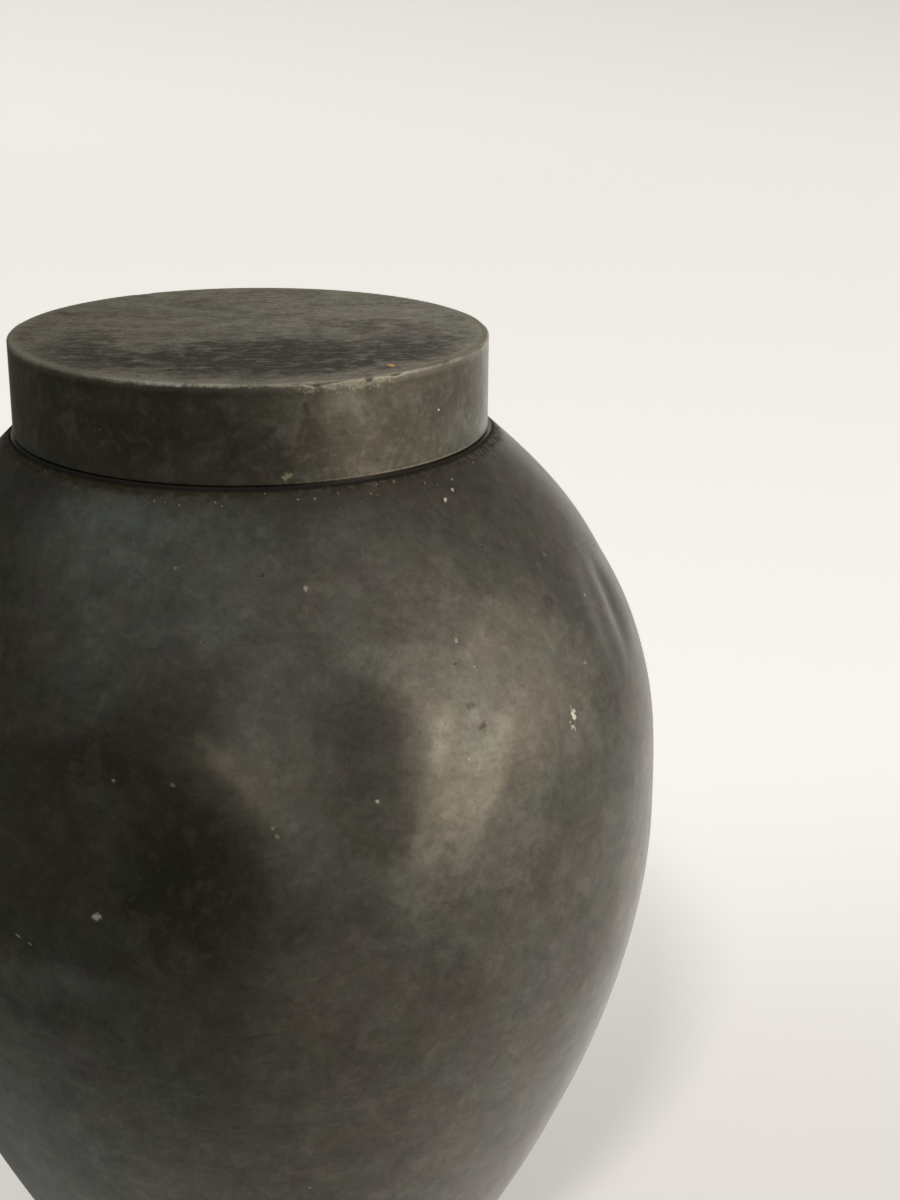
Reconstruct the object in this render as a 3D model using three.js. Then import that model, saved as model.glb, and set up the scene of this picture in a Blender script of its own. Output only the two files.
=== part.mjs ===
// Tin tea caddy: a wide-shouldered jar with a flat cap and an inner lid. Two thin shells lapped at the belly make
// the jar. A collar soldered into the ledge holds the inner lid inside it and the cap over it, and a floor disc and
// a turned foot ring close the bottom. Each piece is turned on one axis, and knocks have dented the shells.
// Millimetres, +Z up. The jar's axis is Z, and z = 0 is the face that it stands on.
import * as THREE from "three";

// Jar, outside
const BELLY_RADIUS = 77.5; // at the lapped seam
const BASE_RADIUS = 47.3; // where the lower shell meets the floor disc
const LOWER_SHELL_HEIGHT = 95.4; // floor disc to seam
const UPPER_SHELL_HEIGHT = 76; // seam to ledge
const LEDGE_MARGIN = 0.9; // how far the ledge shows round the cap
const SHOULDER_SLOPE = 43.3; // degrees that the shoulder falls away from the ledge
const SHOULDER_PULL = 47.2; // how far that slope carries into the curve
const UPPER_BELLY_PULL = 20.2; // how far the upright at the seam carries upwards
const LOWER_BELLY_PULL = 40; // and downwards
const BASE_LEAN = 29; // degrees that the lower shell leans out at the base
const BASE_PULL = 20; // how far that lean carries into the curve
const SHELL_WALL = 1.6;

// Lapped seam
const LAP_HEIGHT = 2.5;
const LAP_THICKNESS = 0.75; // of the lower shell's tongue
const LAP_GAP = 0.1;

// Bottom
const FLOOR_THICKNESS = 1.6;
const FLOOR_REGISTER = 1; // how far the floor disc stands up inside the shell
const FOOT_HEIGHT = 5;
const FOOT_WIDTH = 5.3;
const FOOT_FLARE = 0.7;
const FOOT_EDGE = 0.5; // rounding of the foot's outer lower edge
const SOLDER_GAP = 0.15;

// Cap
const CAP_RADIUS = 45;
const CAP_HEIGHT = 17.6;
const CAP_WALL = 1.6;
const CAP_TOP_THICKNESS = 1.6;
const CAP_REGISTER = 0.6; // how far the cap's disc reaches down inside its wall
const CAP_ARRIS = 0.5; // rounding between the top and the wall
const CAP_LIP = 0.5; // rounding of the wall's lower outer edge
const CAP_GAP = 0.4; // dark line between the cap and the ledge
const CAP_CLEARANCE = 0.2; // between the cap's wall and the collar

// Neck collar
const COLLAR_WALL = 1.5;
const FLANGE_THICKNESS = 0.8;
const FLANGE_GAP = 0.65; // between the flange's edge and the shell

// Inner lid
const LID_CLEARANCE = 0.2; // between the skirt and the collar's bore
const LID_MARGIN = 0.3; // how far the plate stays inside the collar's outer face
const LID_THICKNESS = 1.2;
const LID_REGISTER = 0.6; // how far the plate reaches down inside the skirt
const SKIRT_DEPTH = 8;
const SKIRT_WALL = 1.2;
const SKIRT_LEAD_IN = 0.5; // chamfer that starts the skirt in the collar

// Button on the inner lid
const BUTTON_RADIUS = 8;
const BUTTON_HEIGHT = 5;
const BUTTON_RIM = 1.6; // thickness of the button's edge
const BUTTON_WAIST_RADIUS = 3.4;
const BUTTON_FOOT_RADIUS = 4.6;
const BUTTON_CROWN = 0.7; // how far the top swells above its edge
const BUTTON_ROOM = 0.6; // between the button and the cap
const RIVET_RADIUS = 1.85;
const RIVET_CLEARANCE = 0.15;

// Dents in the shells: degrees round the jar from +X, height above the seam, half sizes along the dent's own axes,
// degrees that it leans towards +X, depth, and softness. Near 0 a dent's rim is a crease, and at 4 it fades out.
const DENTS = [
  { bearing: -83.4, rise: 34.7, halfWidth: 23, halfHeight: 25.5, lean: -25, depth: 2.9, softness: 3.8 },
  { bearing: -116, rise: 19.4, halfWidth: 40, halfHeight: 19.4, lean: -1, depth: 1.8, softness: 1.5 },
  { bearing: -99.5, rise: 17.6, halfWidth: 12, halfHeight: 21.3, lean: 0, depth: 0.7, softness: 1.6 },
  { bearing: -78.7, rise: -7.2, halfWidth: 24, halfHeight: 15.4, lean: 0, depth: 1.3, softness: 2.3 },
  { bearing: -48.7, rise: 4.6, halfWidth: 22, halfHeight: 35, lean: 4.5, depth: 0.6, softness: 0.6 },
  { bearing: -131, rise: 51, halfWidth: 45, halfHeight: 20, lean: -20, depth: 2, softness: 0.6 },
  { bearing: -21, rise: 46, halfWidth: 14.5, halfHeight: 11, lean: -17, depth: 0.6, softness: 1.4 },
];

// Faceting
const SIDES = 60; // round the jar, cap and lids alike, so that concentric faces stay parallel
const BUTTON_SIDES = 30;
const LOWER_ROWS = 15;
const UPPER_ROWS = 14;
const LEAST_ROW = 0.8; // a row closer than this to a shell's edge is left out
const ROUNDING_STEPS = 3;

const TIN_JAR = { color: 0x56534b, roughness: 0.5, metalness: 0.85 };
const TIN_CAP = { color: 0x6a665c, roughness: 0.55, metalness: 0.8 };
const TIN_INSIDE = { color: 0x8f8d86, roughness: 0.38, metalness: 0.9 };

// Heights, from the foot up
const floorZ = FOOT_HEIGHT + FLOOR_THICKNESS;
const seamZ = floorZ + LOWER_SHELL_HEIGHT;
const rebateTopZ = seamZ + LAP_HEIGHT + LAP_GAP;
const ledgeZ = seamZ + UPPER_SHELL_HEIGHT;
const ledgeUnderZ = ledgeZ - SHELL_WALL;
const capZ = ledgeZ + CAP_GAP;
const capWallHeight = CAP_HEIGHT - CAP_TOP_THICKNESS;
const capUnderZ = capZ + capWallHeight - CAP_REGISTER;
const collarTopZ = capUnderZ - BUTTON_ROOM - BUTTON_HEIGHT - LID_THICKNESS;

// Radii that more than one piece shares
const capBore = CAP_RADIUS - CAP_WALL;
const collarRadius = capBore - CAP_CLEARANCE;
const collarBore = collarRadius - COLLAR_WALL;
const ledgeRadius = CAP_RADIUS + LEDGE_MARGIN;
const ledgeCornerRadius = ledgeRadius - SHELL_WALL * Math.tan(radians(SHOULDER_SLOPE) / 2);
const innerBellyRadius = BELLY_RADIUS - SHELL_WALL;
const innerBaseRadius = BASE_RADIUS - SHELL_WALL / Math.cos(radians(BASE_LEAN));
const lapRadius = innerBellyRadius + LAP_THICKNESS;
const skirtRadius = collarBore - LID_CLEARANCE;
const skirtBore = skirtRadius - SKIRT_WALL;

function radians(degrees) {
  return THREE.MathUtils.degToRad(degrees);
}

// A point of a turned profile: its distance from the axis and its height.
function at(radius, height) {
  return new THREE.Vector2(radius, height);
}

// A rounded corner of a profile: a quarter circle about its centre.
function rounding(centre, radius, fromDegrees) {
  const [from, to] = [radians(fromDegrees), radians(fromDegrees + 90)];
  return new THREE.ArcCurve(centre.x, centre.y, radius, from, to, false).getPoints(ROUNDING_STEPS);
}

// Turns a profile about the upright axis. The profile runs up its outer side and closes on itself or on the axis.
function turned(profile, sides = SIDES) {
  return new THREE.LatheGeometry(profile, sides).rotateX(Math.PI / 2);
}

function closed(profile) {
  return [...profile, profile[0].clone()];
}

function piece(name, geometry, finish) {
  const mesh = new THREE.Mesh(geometry, new THREE.MeshStandardMaterial(finish));
  mesh.name = name;
  return mesh;
}

// Depth of the dents at a place on the jar. The doubled wall at the seam is stiff, so a dent has one depth all the
// way up the lap.
function dentDepth(x, y, z) {
  const bearing = Math.atan2(y, x);
  const inLap = z > seamZ && z < rebateTopZ + LEAST_ROW / 2;
  return DENTS.reduce((sum, dent) => {
    const { depth, softness } = dent;
    const across = (bearing - radians(dent.bearing)) * BELLY_RADIUS;
    const up = (inLap ? 0 : z - seamZ) - dent.rise;
    const lean = radians(dent.lean);
    const u = (across * Math.cos(lean) - up * Math.sin(lean)) / dent.halfWidth;
    const v = (across * Math.sin(lean) + up * Math.cos(lean)) / dent.halfHeight;
    const fade = Math.max(0, 1 - u * u - v * v);
    return sum + (depth * (1 + softness) * fade * fade) / (fade + softness);
  }, 0);
}

// Pushes the wall towards the axis where it was knocked. Both faces move alike, so the wall keeps its thickness.
function dented(geometry) {
  const position = geometry.getAttribute("position");
  for (let i = 0; i < position.count; i++) {
    const [x, y, z] = [position.getX(i), position.getY(i), position.getZ(i)];
    const kept = 1 - dentDepth(x, y, z) / Math.hypot(x, y);
    position.setXY(i, x * kept, y * kept);
  }
  geometry.computeVertexNormals();
  return geometry;
}

// Outer line of the lower shell, from the floor disc up to the seam.
function lowerFlank() {
  const lean = radians(BASE_LEAN);
  return new THREE.CubicBezierCurve(
    at(BASE_RADIUS, floorZ),
    at(BASE_RADIUS + BASE_PULL * Math.sin(lean), floorZ + BASE_PULL * Math.cos(lean)),
    at(BELLY_RADIUS, seamZ - LOWER_BELLY_PULL),
    at(BELLY_RADIUS, seamZ),
  );
}

// Outer line of the upper shell, from the seam up to the ledge.
function upperFlank() {
  const slope = radians(SHOULDER_SLOPE);
  return new THREE.CubicBezierCurve(
    at(BELLY_RADIUS, seamZ),
    at(BELLY_RADIUS, seamZ + UPPER_BELLY_PULL),
    at(ledgeRadius + SHOULDER_PULL * Math.cos(slope), ledgeZ - SHOULDER_PULL * Math.sin(slope)),
    at(ledgeRadius, ledgeZ),
  );
}

// Inner line of a shell, downwards: its outer line moved in by the wall, between two heights.
function innerLine(flank, rows, lowest, highest) {
  const line = [];
  for (let i = rows; i >= 0; i--) {
    const tangent = flank.getTangentAt(i / rows);
    const point = flank.getPointAt(i / rows);
    point.add(at(-tangent.y, tangent.x).multiplyScalar(SHELL_WALL));
    if (point.y > lowest + LEAST_ROW && point.y < highest - LEAST_ROW) line.push(point);
  }
  return line;
}

// The lower shell ends in a thin tongue that stands inside the upper one.
function bellyShell() {
  const flank = lowerFlank();
  const profile = [
    ...flank.getSpacedPoints(LOWER_ROWS),
    at(lapRadius, seamZ),
    at(lapRadius, seamZ + LAP_HEIGHT),
    at(innerBellyRadius, seamZ + LAP_HEIGHT),
    at(innerBellyRadius, seamZ),
    ...innerLine(flank, LOWER_ROWS, floorZ, seamZ),
    at(innerBaseRadius, floorZ),
  ];
  return dented(turned(closed(profile)));
}

// The upper shell turns in at the top as a flat ledge, and its rebate takes the lower shell's tongue.
function shoulderShell() {
  const flank = upperFlank();
  const profile = [
    ...flank.getSpacedPoints(UPPER_ROWS),
    at(collarRadius + SOLDER_GAP, ledgeZ),
    at(collarRadius + SOLDER_GAP, ledgeUnderZ),
    at(ledgeCornerRadius, ledgeUnderZ),
    ...innerLine(flank, UPPER_ROWS, rebateTopZ, ledgeUnderZ),
    at(innerBellyRadius, rebateTopZ),
    at(lapRadius + LAP_GAP, rebateTopZ),
    at(lapRadius + LAP_GAP, seamZ),
  ];
  return dented(turned(closed(profile)));
}

// A straight neck with a flange that is soldered up against the ledge from inside.
function neckCollar() {
  const flangeRadius = ledgeCornerRadius - FLANGE_GAP;
  const profile = [
    at(flangeRadius, ledgeUnderZ - FLANGE_THICKNESS),
    at(flangeRadius, ledgeUnderZ),
    at(collarRadius, ledgeUnderZ),
    at(collarRadius, collarTopZ),
    at(collarBore, collarTopZ),
    at(collarBore, ledgeUnderZ - FLANGE_THICKNESS),
  ];
  return turned(closed(profile));
}

// The floor, whose raised middle centres the lower shell.
function floorDisc() {
  const registerRadius = innerBaseRadius - SOLDER_GAP;
  return turned([
    at(0, FOOT_HEIGHT),
    at(BASE_RADIUS, FOOT_HEIGHT),
    at(BASE_RADIUS, floorZ),
    at(registerRadius, floorZ),
    at(registerRadius, floorZ + FLOOR_REGISTER),
    at(0, floorZ + FLOOR_REGISTER),
  ]);
}

// A low ring, a little wider where it stands.
function footRing() {
  const standRadius = BASE_RADIUS + FOOT_FLARE;
  const profile = [
    ...rounding(at(standRadius - FOOT_EDGE, FOOT_EDGE), FOOT_EDGE, -90),
    at(BASE_RADIUS, FOOT_HEIGHT),
    at(BASE_RADIUS - FOOT_WIDTH, FOOT_HEIGHT),
    at(BASE_RADIUS - FOOT_WIDTH, 0),
  ];
  return turned(closed(profile));
}

// The cap's pieces stand on z = 0 of the cap's own group.
function capWall() {
  const profile = [
    ...rounding(at(CAP_RADIUS - CAP_LIP, CAP_LIP), CAP_LIP, -90),
    at(CAP_RADIUS, capWallHeight),
    at(capBore, capWallHeight),
    at(capBore, 0),
  ];
  return turned(closed(profile));
}

function capTop() {
  const registerRadius = capBore - SOLDER_GAP;
  return turned([
    at(0, capWallHeight - CAP_REGISTER),
    at(registerRadius, capWallHeight - CAP_REGISTER),
    at(registerRadius, capWallHeight),
    at(CAP_RADIUS, capWallHeight),
    ...rounding(at(CAP_RADIUS - CAP_ARRIS, CAP_HEIGHT - CAP_ARRIS), CAP_ARRIS, 0),
    at(0, CAP_HEIGHT),
  ]);
}

// The inner lid's pieces are placed from the plate's underside, z = 0 of the inner lid's own group.
function lidPlate() {
  const registerRadius = skirtBore - SOLDER_GAP;
  const holeRadius = RIVET_RADIUS + RIVET_CLEARANCE;
  const profile = [
    at(holeRadius, -LID_REGISTER),
    at(registerRadius, -LID_REGISTER),
    at(registerRadius, 0),
    at(collarRadius - LID_MARGIN, 0),
    at(collarRadius - LID_MARGIN, LID_THICKNESS),
    at(holeRadius, LID_THICKNESS),
  ];
  return turned(closed(profile));
}

function lidSkirt() {
  const profile = [
    at(skirtRadius - SKIRT_LEAD_IN, -SKIRT_DEPTH),
    at(skirtRadius, SKIRT_LEAD_IN - SKIRT_DEPTH),
    at(skirtRadius, 0),
    at(skirtBore, 0),
    at(skirtBore, -SKIRT_DEPTH),
  ];
  return turned(closed(profile));
}

// A waisted button whose stem passes through the plate.
function lidButton() {
  const topZ = LID_THICKNESS + BUTTON_HEIGHT;
  const edgeTopZ = topZ - BUTTON_CROWN;
  const waist = new THREE.QuadraticBezierCurve(
    at(BUTTON_FOOT_RADIUS, LID_THICKNESS),
    at(BUTTON_WAIST_RADIUS, (LID_THICKNESS + edgeTopZ - BUTTON_RIM) / 2),
    at(BUTTON_RADIUS, edgeTopZ - BUTTON_RIM),
  );
  const crown = new THREE.QuadraticBezierCurve(
    at(BUTTON_RADIUS, edgeTopZ),
    at(BUTTON_WAIST_RADIUS, topZ),
    at(0, topZ),
  );
  return turned(
    [
      at(0, -LID_REGISTER),
      at(RIVET_RADIUS, -LID_REGISTER),
      at(RIVET_RADIUS, LID_THICKNESS),
      ...waist.getPoints(ROUNDING_STEPS),
      ...crown.getPoints(ROUNDING_STEPS),
    ],
    BUTTON_SIDES,
  );
}

const jar = new THREE.Group().add(
  piece("foot_ring", footRing(), TIN_JAR),
  piece("floor_disc", floorDisc(), TIN_JAR),
  piece("belly_shell", bellyShell(), TIN_JAR),
  piece("shoulder_shell", shoulderShell(), TIN_JAR),
  piece("neck_collar", neckCollar(), TIN_INSIDE),
);

const innerLid = new THREE.Group().add(
  piece("inner_lid_plate", lidPlate(), TIN_INSIDE),
  piece("inner_lid_skirt", lidSkirt(), TIN_INSIDE),
  piece("inner_lid_button", lidButton(), TIN_INSIDE),
);
innerLid.position.z = collarTopZ;

const cap = new THREE.Group().add(
  piece("cap_wall", capWall(), TIN_CAP),
  piece("cap_top", capTop(), TIN_CAP),
);
cap.position.z = capZ;

const caddy = new THREE.Group().add(jar, innerLid, cap);

export default caddy;
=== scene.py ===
"""Looks of a tin tea caddy: dented, lapped shells under a dark patina, an inner lid and a slip-over cap.

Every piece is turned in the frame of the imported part, in metres, and rides on the part's own bodies.
"""

from __future__ import annotations

import logging
import math
from collections.abc import Callable, Sequence
from dataclasses import dataclass, field
from enum import Enum
from itertools import pairwise

import bmesh
import bpy
from mathutils import Euler, Matrix, Vector, noise
from mathutils.geometry import interpolate_bezier

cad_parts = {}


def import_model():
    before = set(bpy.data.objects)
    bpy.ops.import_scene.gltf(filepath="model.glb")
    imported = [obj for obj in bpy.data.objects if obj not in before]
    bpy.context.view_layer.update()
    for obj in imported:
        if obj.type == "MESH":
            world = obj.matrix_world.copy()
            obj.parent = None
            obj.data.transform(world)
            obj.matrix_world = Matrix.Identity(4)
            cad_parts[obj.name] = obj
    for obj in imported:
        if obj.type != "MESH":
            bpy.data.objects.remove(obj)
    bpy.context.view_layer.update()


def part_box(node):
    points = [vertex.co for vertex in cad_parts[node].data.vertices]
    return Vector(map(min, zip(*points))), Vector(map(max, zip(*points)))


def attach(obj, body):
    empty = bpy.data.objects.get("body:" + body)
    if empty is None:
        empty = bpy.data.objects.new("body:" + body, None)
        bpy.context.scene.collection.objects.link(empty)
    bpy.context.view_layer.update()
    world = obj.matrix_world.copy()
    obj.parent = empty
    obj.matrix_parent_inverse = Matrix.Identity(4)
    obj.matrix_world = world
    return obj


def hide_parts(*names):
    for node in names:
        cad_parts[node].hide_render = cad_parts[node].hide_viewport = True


LOG = logging.getLogger("tea_caddy")
MM = 0.001
SHARP = math.radians(32)  # faces that meet at a wider angle have a hard edge between them
LEVEL = 0.7  # a face of the cap's disc whose normal rises more than this lies on top
RIPPLE_START = Vector((7, 3, 1))  # sets the finer waves off from the slow ones
SMALL_MM = 1.6  # a patch narrower than this has a finely broken rim and lies over the mottling
RIM_BREAKUP = 3  # how far a ragged rim breaks up, in half widths
SHADOW_AND_GRIME_FRAY_MM = 2.0  # how far the edge of the painted gap shadow and of the grime frays up and down
WEAR_FRAY_MM = 0.9  # how far the wear's edge frays
GRAIN_MM = 0.7  # the finest grain that the render still shows
TRAIL_MM = 1.3  # how wide the trails of a cloth are
TRAIL_STRETCH = 3.5  # how many times longer they are than wide
CLOUDY = {"Roughness": 0.6, "Distortion": 0.35}  # how crumbly and how drawn out a noise's clouds are
COLOUR_SOCKETS = (6, 7, 2)  # a Mix node's sockets for colours: what lies under, over and what comes out
NUMBER_SOCKETS = (2, 3, 0)  # the same for numbers
DUST_GREY = "c9c5b6"
CRUMB_BROWN = "a0977c"
GRIME_BROWN = "352b1b"
# Painted shadow: the black of the shaded gap under the cap.
GAP_SHADOW_BLACK = "12100c"
# Painted shadow: a softer black for the gap's shade at the front.
GAP_SHADOW_WARM_BLACK = "1a140d"
BARE_ARRIS = "b8b3a3"

Point = tuple[float, float]  # distance from the axis and height, in metres
Shift = Callable[[Vector], Vector]
Solid = bmesh.types.BMesh
Finish = bpy.types.Material
Socket = bpy.types.NodeSocket
Amount = Socket | float | tuple[float, ...]
Inputs = dict[str | int, object]  # a node's sockets, each with its value or with the socket that feeds it


class ShellFace(Enum):
    """Which face of a shell's wall a material covers."""

    OUTSIDE = 0
    INSIDE = 1


class CapFace(Enum):
    """Which face of the cap's disc a material covers."""

    SIDE = 0
    TOP = 1


def linear(colour: str) -> tuple[float, float, float, float]:
    """Turns an sRGB hex colour into the linear values that a shader takes.

    Args:
        colour: Six hex digits, such as "8f8d86".

    Returns:
        Red, green, blue and an alpha of 1.
    """
    parts = (int(colour[i : i + 2], 16) / 255 for i in (0, 2, 4))
    red, green, blue = (c / 12.92 if c <= 0.04045 else ((c + 0.055) / 1.055) ** 2.4 for c in parts)
    return red, green, blue, 1.0


def per_metre(size_mm: float) -> float:
    """Gives the scale of a noise whose features are size_mm across."""
    return 1 / (size_mm * MM)


def around(bearing: float, radius: float, height: float) -> Vector:
    """Gives the point at a bearing in degrees from +X, a radius and a height."""
    angle = math.radians(bearing)
    return Vector((radius * math.cos(angle), radius * math.sin(angle), height))


def between(start: float, bearing: float) -> float:
    """Gives the degrees from one bearing to another, from -180 to 180."""
    return (bearing - start + 180) % 360 - 180


def curve(start: Point, start_pull: Point, end_pull: Point, end: Point, rows: int) -> list[Point]:
    """Samples the Bezier curve from start to end that their two handles pull, in rows + 1 points."""
    knots = [Vector((x, y, 0)) for x, y in (start, start_pull, end_pull, end)]
    return [(p.x, p.y) for p in interpolate_bezier(*knots, rows + 1)]


def corner(centre: Point, radius: float, first: float, steps: int = 4) -> list[Point]:
    """Rounds a corner with a quarter circle that starts first degrees from outwards towards up."""
    turns = (math.radians(first + 90 * i / steps) for i in range(steps + 1))
    return [(centre[0] + radius * math.cos(t), centre[1] + radius * math.sin(t)) for t in turns]


def line(start: Point, end: Point, rows: int) -> list[Point]:
    """Cuts a straight stretch of a profile into rows, without its two ends."""
    steps = (i / rows for i in range(1, rows))
    return [(start[0] + (end[0] - start[0]) * t, start[1] + (end[1] - start[1]) * t) for t in steps]


def moved_in(outer: Sequence[Point], wall: float) -> list[Point]:
    """Moves a profile that runs upwards towards the axis by a wall, square to itself.

    Args:
        outer: The profile.
        wall: The wall, in metres.

    Returns:
        The moved profile.
    """
    moved = []
    for i, (radius, height) in enumerate(outer):
        before, after = outer[max(i - 1, 0)], outer[min(i + 1, len(outer) - 1)]
        along = Vector((after[0] - before[0], after[1] - before[1])).normalized()
        moved.append((radius - along.y * wall, height + along.x * wall))
    return moved


def turn(profile: Sequence[Point], steps: int, closed: bool) -> Solid:
    """Spins a profile about the upright axis into a closed solid.

    Args:
        profile: The profile's points, up its outer side first.
        steps: How many steps the full turn has.
        closed: Whether the last point joins the first; otherwise both lie on the axis.

    Returns:
        The solid, with its faces pointing out.
    """
    mesh = bmesh.new()
    verts = [mesh.verts.new((radius, 0, height)) for radius, height in profile]
    for pair in pairwise([*verts, verts[0]] if closed else verts):
        mesh.edges.new(pair)
    bmesh.ops.spin(
        mesh,
        geom=[*mesh.verts, *mesh.edges],
        cent=(0, 0, 0),
        axis=(0, 0, 1),
        dvec=(0, 0, 0),
        angle=math.tau,
        steps=steps,
        use_merge=True,
    )
    bmesh.ops.remove_doubles(mesh, verts=mesh.verts, dist=1e-7)
    bmesh.ops.recalc_face_normals(mesh, faces=mesh.faces)
    return mesh


@dataclass(frozen=True)
class Dent:
    """A place where a knock has pushed the wall in, or where a negative depth has raised it.

    Attributes:
        bearing: Degrees round the jar from +X.
        rise: Height above the seam, in mm.
        half_width: Half its width, in mm along the wall.
        half_height: Half its height, in mm.
        lean: Degrees that it leans towards +X.
        depth: Its depth, in mm.
        softness: How gently it runs out at its rim: near 0 the rim is a crease, at 3 it has none.
    """

    bearing: float
    rise: float
    half_width: float
    half_height: float
    lean: float
    depth: float
    softness: float = 1.5

    def depth_at(self, bearing: float, rise: float, girth: float) -> float:
        """Gives the dent's depth at a place.

        Args:
            bearing: Degrees round the jar from +X.
            rise: Height above the seam, in mm.
            girth: The jar's radius that turns degrees into a width, in mm.

        Returns:
            The depth in mm, and 0 outside the dent.
        """
        across, up = math.radians(between(self.bearing, bearing)) * girth, rise - self.rise
        if abs(across) + abs(up) > 2 * max(self.half_width, self.half_height):
            return 0.0
        lean = math.radians(self.lean)
        u = (across * math.cos(lean) - up * math.sin(lean)) / self.half_width
        v = (across * math.sin(lean) + up * math.cos(lean)) / self.half_height
        fade = max(0.0, 1 - u * u - v * v)
        return self.depth * (1 + self.softness) * fade * fade / (fade + self.softness)


@dataclass(frozen=True)
class Relief:
    """The unevenness of the knocked-about shells: dents, a slow waviness and a body that is out of true.

    Attributes:
        floor: Height at which the floor disc holds the wall, in metres.
        seam: Height of the seam, in metres.
        ledge: Height at which the collar holds the wall, in metres.
        girth: The belly's radius, in mm.
        dents: The dents.
        sway_mm: How far the body has been knocked towards +X, in mm.
        wave_mm: How far the slow waves move the wall, in mm.
        wave_length_mm: The distance between the slow waves, in mm.
        ripple: How high the finer waves are against the slow ones.
        ripple_pace: How many times closer they follow one another.
        held_mm: How far the hold of the floor and of the collar reaches, in mm.
    """

    floor: float
    seam: float
    ledge: float
    girth: float
    dents: tuple[Dent, ...]
    sway_mm: float = 1.1
    wave_mm: float = 0.16
    wave_length_mm: float = 34.0
    ripple: float = 0.5
    ripple_pace: float = 2.3
    held_mm: tuple[float, float] = (12.0, 40.0)

    def freedom(self, height: float) -> float:
        """Gives how freely the wall could move at a height, from 0 where it is held to 1.

        Args:
            height: The height, in metres.

        Returns:
            The share of the waves and of the sway that it takes.
        """
        low = min(1.0, max(0.0, (height - self.floor) / MM / self.held_mm[0]))
        high = min(1.0, max(0.0, (self.ledge - height) / MM / self.held_mm[1]))
        return low * low * (3 - 2 * low) * high * high * (3 - 2 * high)

    def at(self, place: Vector) -> Vector:
        """Moves a point of the wall level with itself.

        Args:
            place: The point.

        Returns:
            Where it goes.
        """
        rise = (place.z - self.seam) / MM
        bearing = math.degrees(math.atan2(place.y, place.x))
        out = Vector((place.x, place.y, 0)).normalized()
        level = Vector((out.x * self.girth, out.y * self.girth, rise)) / self.wave_length_mm
        free = self.freedom(place.z)
        ripple = self.ripple * noise.noise(level * self.ripple_pace + RIPPLE_START)
        wave = self.wave_mm * free * (noise.noise(level) + ripple)
        depth = sum(d.depth_at(bearing, rise, self.girth) for d in self.dents) + wave
        return place - out * depth * MM + Vector((self.sway_mm * MM * free, 0, 0))


@dataclass(frozen=True)
class Nick:
    """A place where the cap's arris has been knocked flat, as if planed off at 45 degrees.

    Attributes:
        bearing: Degrees round the cap from +X.
        half_width: Half its width, in mm along the arris.
        depth: How much it takes off the radius and the height together, in mm.
    """

    bearing: float
    half_width: float
    depth: float


@dataclass(frozen=True)
class ArrisWear:
    """The uneven wear of the cap's arris.

    Attributes:
        radius: The arris's radius, in metres.
        height: Its height, in metres.
        nicks: The places where it was knocked.
        rub_mm: How much is rubbed off all round, in mm.
        rub_length_mm: How quickly that changes along the arris, in mm.
        chip_length_mm: How quickly its small chips follow one another, in mm.
        near_mm: How near the arris a point is moved, in mm.
        rub_change: How much the rub changes along the arris.
        rub_chips: How much the chips change the rub.
        nick_chips: How much they change a nick.
    """

    radius: float
    height: float
    nicks: tuple[Nick, ...]
    rub_mm: float = 0.32
    rub_length_mm: float = 9.0
    chip_length_mm: float = 1.6
    near_mm: float = 2.0
    rub_change: float = 0.6
    rub_chips: float = 0.4
    nick_chips: float = 0.7

    def at(self, place: Vector) -> Vector:
        """Moves a point that stands out of the worn arris back onto it.

        Args:
            place: The point.

        Returns:
            Where it goes.
        """
        out = Vector((place.x, place.y, 0)).normalized()
        if place.xy.length + place.z < self.radius + self.height - self.near_mm * MM:
            return place
        bearing = math.degrees(math.atan2(place.y, place.x))
        chips = noise.noise(out * (self.radius / MM / self.chip_length_mm))
        rub = noise.noise(out * (self.radius / MM / self.rub_length_mm))
        depth = self.rub_mm * (1 + self.rub_change * rub + self.rub_chips * chips)
        for nick in self.nicks:
            away = math.radians(between(nick.bearing, bearing)) * self.radius / MM
            flat = nick.depth * (1 - (away / nick.half_width) ** 2)
            depth = max(depth, flat * (1 + self.nick_chips * chips))
        excess = place.xy.length + place.z - self.radius - self.height + depth * MM
        return place - (out + Vector((0, 0, 1))) * (max(0.0, excess) / 2)


@dataclass(frozen=True)
class Patch:
    """A place with a tone of its own, such as a rubbed ridge, a stain or a chip, or painted light: a
    highlight, a reflection or a shadow.

    Attributes:
        bearing: Degrees round the jar from +X.
        height: Height above the foot, in mm.
        radius: Distance from the axis, in mm.
        half_width: Half its width, in mm.
        half_height: Half its height, in mm.
        colour: Its colour.
        amount: How far it covers what lies under it.
        roughness: Its roughness.
        lean: Degrees that it leans to the right, seen from outside.
        ragged: How much its rim breaks up.
        flat: Whether it lies on a level face, where its height runs towards the axis.
        reach: How far it goes in and out through the surface, in mm.
        metal: How metallic it is, from 0 for dust.
        soft: The share of its half width over which it fades out.
    """

    bearing: float
    height: float
    radius: float
    half_width: float
    half_height: float
    colour: str
    amount: float
    roughness: float = 0.5
    lean: float = 0.0
    ragged: float = 0.9
    flat: bool = False
    reach: float = 12.0
    metal: float = 0.94
    soft: float = 0.7


@dataclass(frozen=True)
class Spots:
    """Small ragged spots scattered over a finish.

    Attributes:
        spacing_mm: Mean distance between their centres in space, in mm.
        radius_mm: Their radius, in mm.
        share: The share of them that is kept.
        frayed: The size of what frays their rims, in radii.
        bent: How far it moves them, in radii.
        core: How much of the radius is full.
    """

    spacing_mm: float
    radius_mm: float
    share: float
    frayed: float = 3.0
    bent: float = 2.0
    core: float = 0.5


PIT_SPOTS = Spots(6.5, 0.45, 0.22)
DUST_SPOTS = Spots(5.2, 0.26, 0.3)
CRUMB_SPOTS = Spots(1.4, 0.28, 0.4)


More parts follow.
